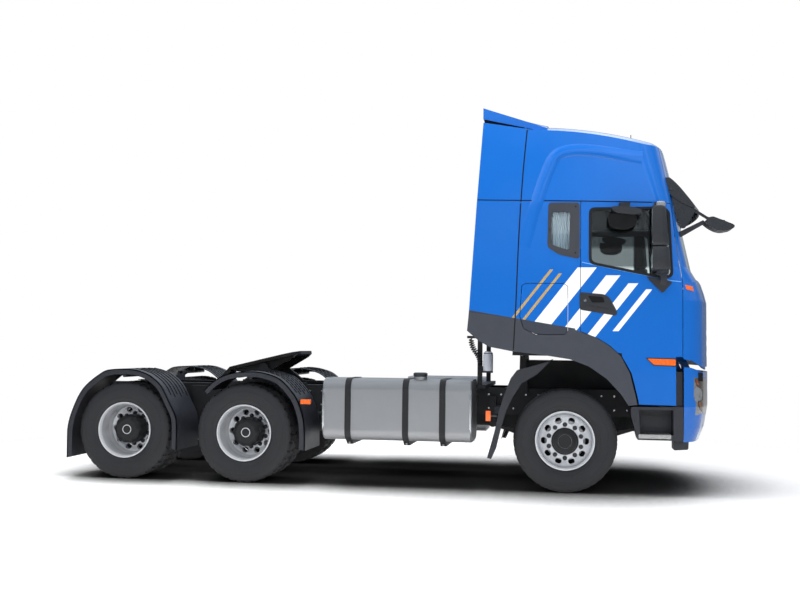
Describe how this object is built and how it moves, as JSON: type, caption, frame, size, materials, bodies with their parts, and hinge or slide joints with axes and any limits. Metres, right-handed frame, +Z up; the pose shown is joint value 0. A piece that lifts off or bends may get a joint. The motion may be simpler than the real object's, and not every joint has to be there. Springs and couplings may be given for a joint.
{
  "type": "semi truck tractor unit",
  "caption": "Three-axle semi truck tractor unit with a tilting high-roof sleeper cab, opening doors and lid, steered front wheels, twin drive wheels and a rocking fifth wheel.",
  "frame": {"origin": "on the ground under the middle of the whole vehicle, between front and rear ends", "axes": "+X ahead, +Y to the vehicle's left, +Z up"},
  "size_m": [7.035, 2.98, 3.9848],
  "materials": {
    "cab_paint": "gloss",
    "chassis_black": "satin",
    "engine_grey": "matt",
    "black_plastic": "satin",
    "dark_trim": "satin",
    "tank_aluminium": "brushed",
    "wheel_silver": "satin",
    "tyre": "matt",
    "window_glass": "clear",
    "lamp_glass": "gloss",
    "hose_rubber": "satin",
    "seat_fabric": "woven",
    "coupling_steel": "greased"
  },
  "bodies": {
    "chassis": {"frame_rails": "chassis_black", "crossmembers": "chassis_black", "engine": "engine_grey", "propshafts": "chassis_black", "drive_axles": "chassis_black", "leaf_springs": "chassis_black", "front_axle": "chassis_black", "bumper": "cab_paint", "headlamps": "lamp_glass", "step_boxes": "black_plastic", "front_fenders": "black_plastic", "mudguards": "black_plastic", "fuel_tank": "tank_aluminium", "tank_straps": "chassis_black", "exhaust_box": "tank_aluminium", "battery_box": "black_plastic", "air_tanks": "chassis_black", "catwalk": "tank_aluminium", "fifth_wheel_base": "chassis_black", "cab_mounts": "chassis_black", "lamps": "lamp_glass", "air_hose": "hose_rubber"},
    "cab": {"cab_shell": "cab_paint", "cab_roof": "cab_paint", "roof_spoiler": "cab_paint", "side_deflectors": "cab_paint", "cab_glass": "window_glass", "sun_visor": "dark_trim", "corner_panels": "cab_paint", "cab_trims": "dark_trim", "seats": "seat_fabric", "dashboard": "dark_trim", "front_mirror": "black_plastic"},
    "front_panel": {"front_panel": "cab_paint"},
    "door_right": {"door_right": "cab_paint", "door_glass_right": "window_glass", "mirrors_right": "black_plastic"},
    "door_left": {"door_left": "cab_paint", "door_glass_left": "window_glass", "mirrors_left": "black_plastic"},
    "locker_right": {"locker_right": "cab_paint"},
    "locker_left": {"locker_left": "cab_paint"},
    "steering_wheel": {"steering_wheel": "black_plastic"},
    "fifth_wheel": {"fifth_wheel_plate": "coupling_steel"},
    "knuckle_right": {"knuckle_right": "chassis_black"},
    "knuckle_left": {"knuckle_left": "chassis_black"},
    "wheel_front_right": {"tyre_front_right": "tyre", "wheel_front_right": "wheel_silver"},
    "wheel_front_left": {"tyre_front_left": "tyre", "wheel_front_left": "wheel_silver"},
    "wheel_mid_right": {"tyre_mid_right": "tyre", "wheel_mid_right": "wheel_silver"},
    "wheel_mid_left": {"tyre_mid_left": "tyre", "wheel_mid_left": "wheel_silver"},
    "wheel_rear_right": {"tyre_rear_right": "tyre", "wheel_rear_right": "wheel_silver"},
    "wheel_rear_left": {"tyre_rear_left": "tyre", "wheel_rear_left": "wheel_silver"}
  },
  "joints": [
    {"name": "fifth_wheel_rock", "type": "hinge", "parent": "chassis", "child": "fifth_wheel", "pos_m": [-1.56766, 0, 1.20866], "axis": [0, 1, 0], "range_deg": [0, 25]},
    {"name": "steer_right", "type": "hinge", "parent": "chassis", "child": "knuckle_right", "pos_m": [1.84, -0.8, 0.525], "axis": [0, 0, 1], "range_deg": [-35, 35]},
    {"name": "steer_left", "type": "hinge", "parent": "chassis", "child": "knuckle_left", "pos_m": [1.84, 0.8, 0.525], "axis": [0, 0, 1], "range_deg": [-35, 35]},
    {"name": "roll_front_right", "type": "hinge", "parent": "knuckle_right", "child": "wheel_front_right", "pos_m": [1.84, -1.024, 0.525], "axis": [0, 1, 0], "continuous": true},
    {"name": "roll_front_left", "type": "hinge", "parent": "knuckle_left", "child": "wheel_front_left", "pos_m": [1.84, 1.024, 0.525], "axis": [0, 1, 0], "continuous": true},
    {"name": "roll_mid_right", "type": "hinge", "parent": "chassis", "child": "wheel_mid_right", "pos_m": [-1.53, -0.924, 0.525], "axis": [0, 1, 0], "continuous": true},
    {"name": "roll_mid_left", "type": "hinge", "parent": "chassis", "child": "wheel_mid_left", "pos_m": [-1.53, 0.924, 0.525], "axis": [0, 1, 0], "continuous": true},
    {"name": "roll_rear_right", "type": "hinge", "parent": "chassis", "child": "wheel_rear_right", "pos_m": [-2.88, -0.924, 0.525], "axis": [0, 1, 0], "continuous": true},
    {"name": "roll_rear_left", "type": "hinge", "parent": "chassis", "child": "wheel_rear_left", "pos_m": [-2.88, 0.924, 0.525], "axis": [0, 1, 0], "continuous": true},
    {"name": "cab_tilt", "type": "hinge", "parent": "chassis", "child": "cab", "pos_m": [3.14, 0, 1.15], "axis": [0, 1, 0], "range_deg": [0, 50]},
    {"name": "door_right_swing", "type": "hinge", "parent": "cab", "child": "door_right", "pos_m": [2.96, -1.252, 2], "axis": [0, 0, 1], "range_deg": [0, 70]},
    {"name": "door_left_swing", "type": "hinge", "parent": "cab", "child": "door_left", "pos_m": [2.96, 1.252, 2], "axis": [0, 0, -1], "range_deg": [0, 70]},
    {"name": "front_panel_lift", "type": "hinge", "parent": "cab", "child": "front_panel", "pos_m": [3.321, 0, 2.036], "axis": [0, -1, 0], "range_deg": [0, 60]},
    {"name": "locker_right_lift", "type": "hinge", "parent": "cab", "child": "locker_right", "pos_m": [1.623, -1.248, 2.112], "axis": [-1, 0, 0], "range_deg": [0, 80]},
    {"name": "locker_left_lift", "type": "hinge", "parent": "cab", "child": "locker_left", "pos_m": [1.623, 1.248, 2.112], "axis": [1, 0, 0], "range_deg": [0, 80]},
    {"name": "steering_wheel_turn", "type": "hinge", "parent": "cab", "child": "steering_wheel", "pos_m": [2.64, 0.56, 2.12], "axis": [-0.5736, 0, 0.8192], "range_deg": [-600, 600]}
  ],
  "couplings": [
    {"joint": "steer_left", "follows": "steer_right", "ratio": 1},
    {"joint": "steering_wheel_turn", "follows": "steer_right", "ratio": 17}
  ]
}
